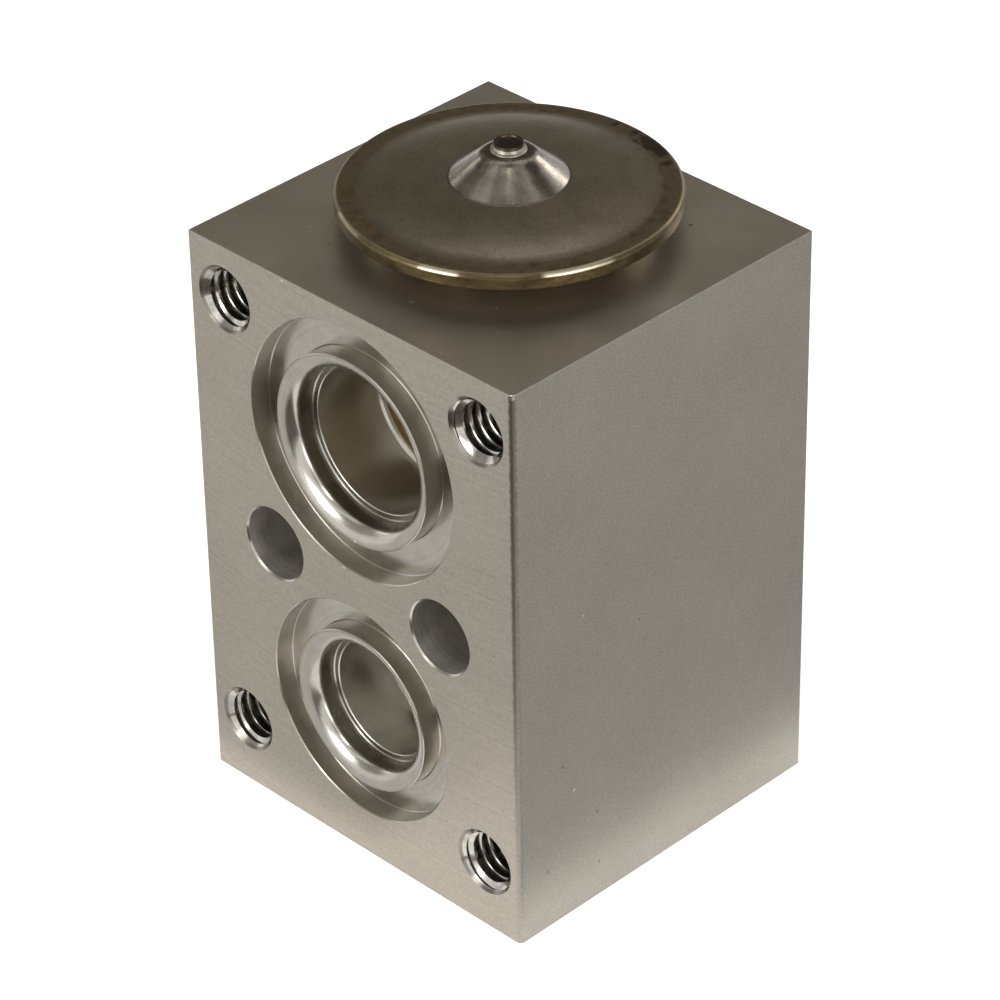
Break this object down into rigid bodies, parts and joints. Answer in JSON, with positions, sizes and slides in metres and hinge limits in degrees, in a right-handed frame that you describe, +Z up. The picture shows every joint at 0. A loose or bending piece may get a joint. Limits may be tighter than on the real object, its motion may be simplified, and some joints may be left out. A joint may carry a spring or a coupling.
{
  "type": "block expansion valve",
  "caption": "Machined aluminium block type thermostatic expansion valve with flanged suction and liquid ports, bolt holes and a stamped steel power head on top.",
  "frame": {"origin": "middle of the block's base", "axes": "+Z up along the valve's height, -Y out of the face with the tapped corner holes, +X to the right when that face is looked at"},
  "size_m": [0.04, 0.0374, 0.0665],
  "materials": {
    "block_aluminium": "milled faces with turned ports, a little stained",
    "cover_steel": "stamped stainless steel with brown heat tint",
    "plug_steel": "welded plug, dulled",
    "spring_steel": "bright spring steel",
    "turned_steel": "turned",
    "ball_steel": "polished",
    "rod_aluminium": "turned",
    "turned_brass": "turned",
    "seal_rubber": "matte black",
    "nylon": "natural nylon"
  },
  "bodies": {
    "valve_body": {"valve_block": "block_aluminium", "lower_cover": "cover_steel", "upper_cover": "cover_steel", "fill_plug": "plug_steel", "head_seal": "seal_rubber", "rod_seal": "seal_rubber", "seal_washer": "nylon", "retaining_ring": "spring_steel", "seat_ring": "turned_steel", "adjusting_screw": "turned_brass", "screw_seal": "seal_rubber", "diaphragm": "spring_steel"},
    "valve_train": {"stop_plate": "turned_steel", "sensing_rod": "rod_aluminium", "damping_sleeve": "nylon", "push_pin": "turned_steel", "valve_ball": "ball_steel", "ball_carrier": "turned_brass", "vibration_spring": "spring_steel", "bias_spring": "spring_steel"}
  },
  "joints": [
    {"name": "valve_stroke", "type": "slide", "parent": "valve_body", "child": "valve_train", "axis": [0, 0, -1], "range_m": [0, 0.0008], "stiffness_N_per_m": 400, "springref_m": -0.001, "deforming": ["bias_spring", "diaphragm"]}
  ]
}
